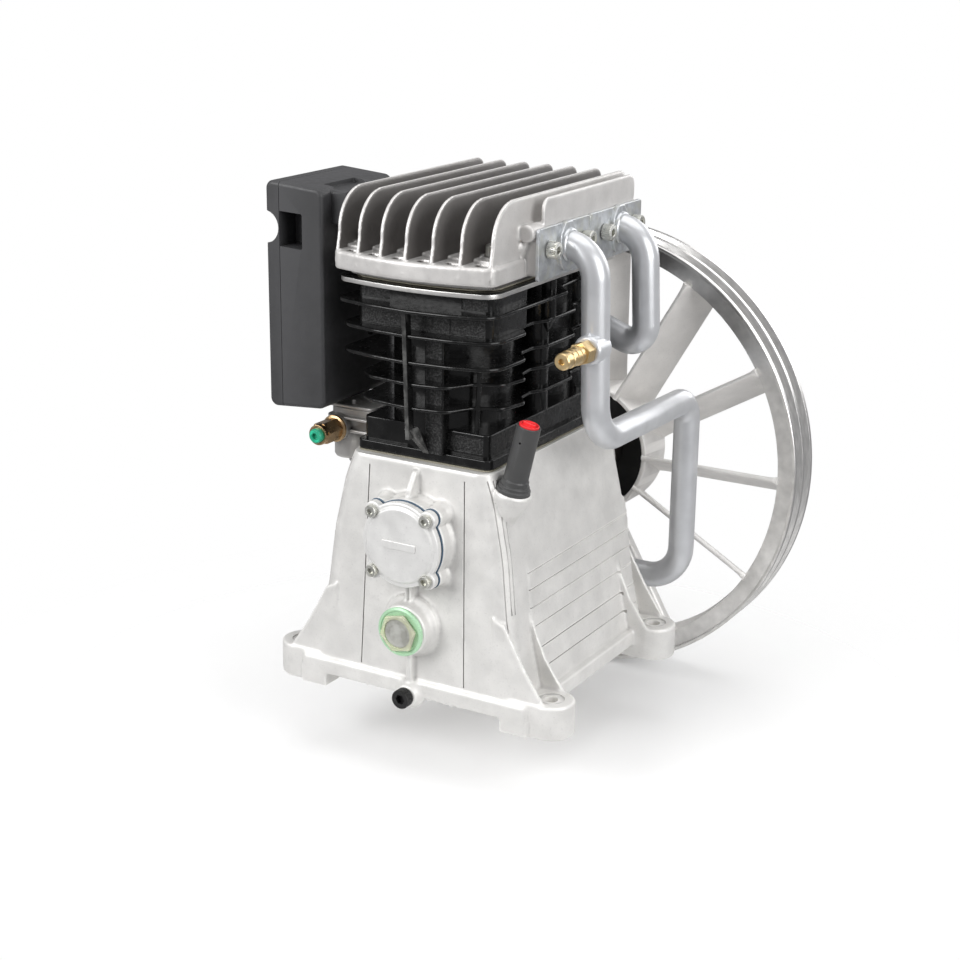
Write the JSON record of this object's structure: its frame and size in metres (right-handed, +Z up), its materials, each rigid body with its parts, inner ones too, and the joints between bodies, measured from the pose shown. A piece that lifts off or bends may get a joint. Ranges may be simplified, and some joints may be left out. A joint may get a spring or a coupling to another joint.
{
  "type": "piston compressor pump",
  "caption": "Belt-driven piston compressor pump with finned cylinders and head, an intercooler tube, a side air filter and a large grooved flywheel that turns the crankshaft.",
  "frame": {"origin": "centre of the four foot holes, on the underside of the feet", "axes": "+X towards the intercooler tube's side, +Y along the crankshaft from the front cover to the flywheel, +Z up along the cylinders"},
  "size_m": [0.4, 0.3606, 0.464],
  "materials": {
    "cast_aluminium": "die-cast, fine grain, shot-blasted",
    "cover_aluminium": "die-cast, smooth",
    "head_aluminium": "sand-cast, slightly grey",
    "rod_aluminium": "die-cast",
    "piston_aluminium": "turned",
    "flywheel_iron": "cast, silver coat, rim turned bright",
    "black_iron": "gloss black paint over rough casting",
    "plate_steel": "machined edge",
    "spring_steel": "blued",
    "forged_steel": "forged, journals ground",
    "bearing_steel": "ground bright",
    "steel": "bright zinc plate",
    "zinc": "zinc plate",
    "silver_paint": "satin silver paint",
    "black_oxide": "black oxide",
    "brass": "turned",
    "black_plastic": "finely grained",
    "red_plastic": "moulded",
    "green_plastic": "moulded",
    "anodised_green": "pale green, knurled",
    "sight_glass_resin": "clear, faintly yellow",
    "gasket_blue": "matt sheet",
    "gasket_paper": "fibre sheet",
    "seal_rubber": "moulded",
    "filter_felt": "pleated felt"
  },
  "bodies": {
    "root": {"crankcase": "cast_aluminium", "front_cover": "cover_aluminium", "cover_gasket": "gasket_blue", "cover_screw_1": "steel", "cover_screw_2": "steel", "cover_screw_3": "steel", "cover_screw_4": "steel", "sight_glass_ring": "anodised_green", "sight_glass_lens": "sight_glass_resin", "drain_plug": "black_oxide", "oil_filler_tube": "black_plastic", "bearing_housing": "cast_aluminium", "housing_screw_1": "steel", "housing_screw_2": "steel", "housing_screw_3": "steel", "housing_screw_4": "steel", "front_bearing": "bearing_steel", "rear_bearing": "bearing_steel", "shaft_seal": "seal_rubber", "front_piston": "piston_aluminium", "rear_piston": "piston_aluminium", "base_gasket": "gasket_paper", "cylinder_block": "black_iron", "valve_plate": "plate_steel", "front_reed_valve": "spring_steel", "rear_reed_valve": "spring_steel", "head_gasket": "gasket_paper", "cylinder_head": "head_aluminium", "head_bolt_1": "steel", "head_bolt_2": "steel", "head_bolt_3": "steel", "head_bolt_4": "steel", "head_bolt_5": "steel", "head_bolt_6": "steel", "flange_plate_front": "zinc", "flange_plate_rear": "zinc", "flange_bolt_1": "steel", "flange_bolt_2": "steel", "flange_bolt_3": "steel", "flange_bolt_4": "steel", "intercooler_tube": "silver_paint", "safety_valve_body": "brass", "filter_housing": "black_plastic", "filter_element": "filter_felt", "outlet_manifold": "cast_aluminium", "outlet_fitting": "brass"},
    "crank": {"crankshaft": "forged_steel", "flywheel": "flywheel_iron", "flywheel_washer": "steel", "flywheel_bolt": "steel"},
    "front_rod": {"front_connecting_rod": "rod_aluminium", "front_wrist_pin": "bearing_steel"},
    "rear_rod": {"rear_connecting_rod": "rod_aluminium", "rear_wrist_pin": "bearing_steel"},
    "filler_cap": {"oil_filler_cap": "red_plastic"},
    "valve_stem": {"safety_valve_stem": "brass"},
    "filter_cover": {"filter_cover": "black_plastic"},
    "outlet_plug": {"outlet_plug": "green_plastic"}
  },
  "joints": [
    {"name": "crank_spin", "type": "hinge", "parent": "root", "child": "crank", "pos_m": [0, 0, 0.141], "axis": [0, 1, 0], "continuous": true},
    {"name": "front_rod_pivot", "type": "hinge", "parent": "crank", "child": "front_rod", "pos_m": [0, -0.046, 0.167], "axis": [0, 1, 0], "continuous": true},
    {"name": "rear_rod_pivot", "type": "hinge", "parent": "crank", "child": "rear_rod", "pos_m": [0, 0.046, 0.167], "axis": [0, 1, 0], "continuous": true},
    {"name": "filler_cap_pull", "type": "slide", "parent": "root", "child": "filler_cap", "axis": [0.2368, 0, 0.9715], "range_m": [0, 0.045]},
    {"name": "valve_stem_pull", "type": "slide", "parent": "root", "child": "valve_stem", "axis": [0, -1, 0], "range_m": [0, 0.003]},
    {"name": "filter_cover_pull", "type": "slide", "parent": "root", "child": "filter_cover", "axis": [-1, 0, 0], "range_m": [0, 0.04]},
    {"name": "outlet_plug_pull", "type": "slide", "parent": "root", "child": "outlet_plug", "axis": [0, -1, 0], "range_m": [0, 0.03]}
  ],
  "couplings": [
    {"joint": "front_rod_pivot", "follows": "crank_spin", "ratio": -1},
    {"joint": "rear_rod_pivot", "follows": "crank_spin", "ratio": -1}
  ]
}
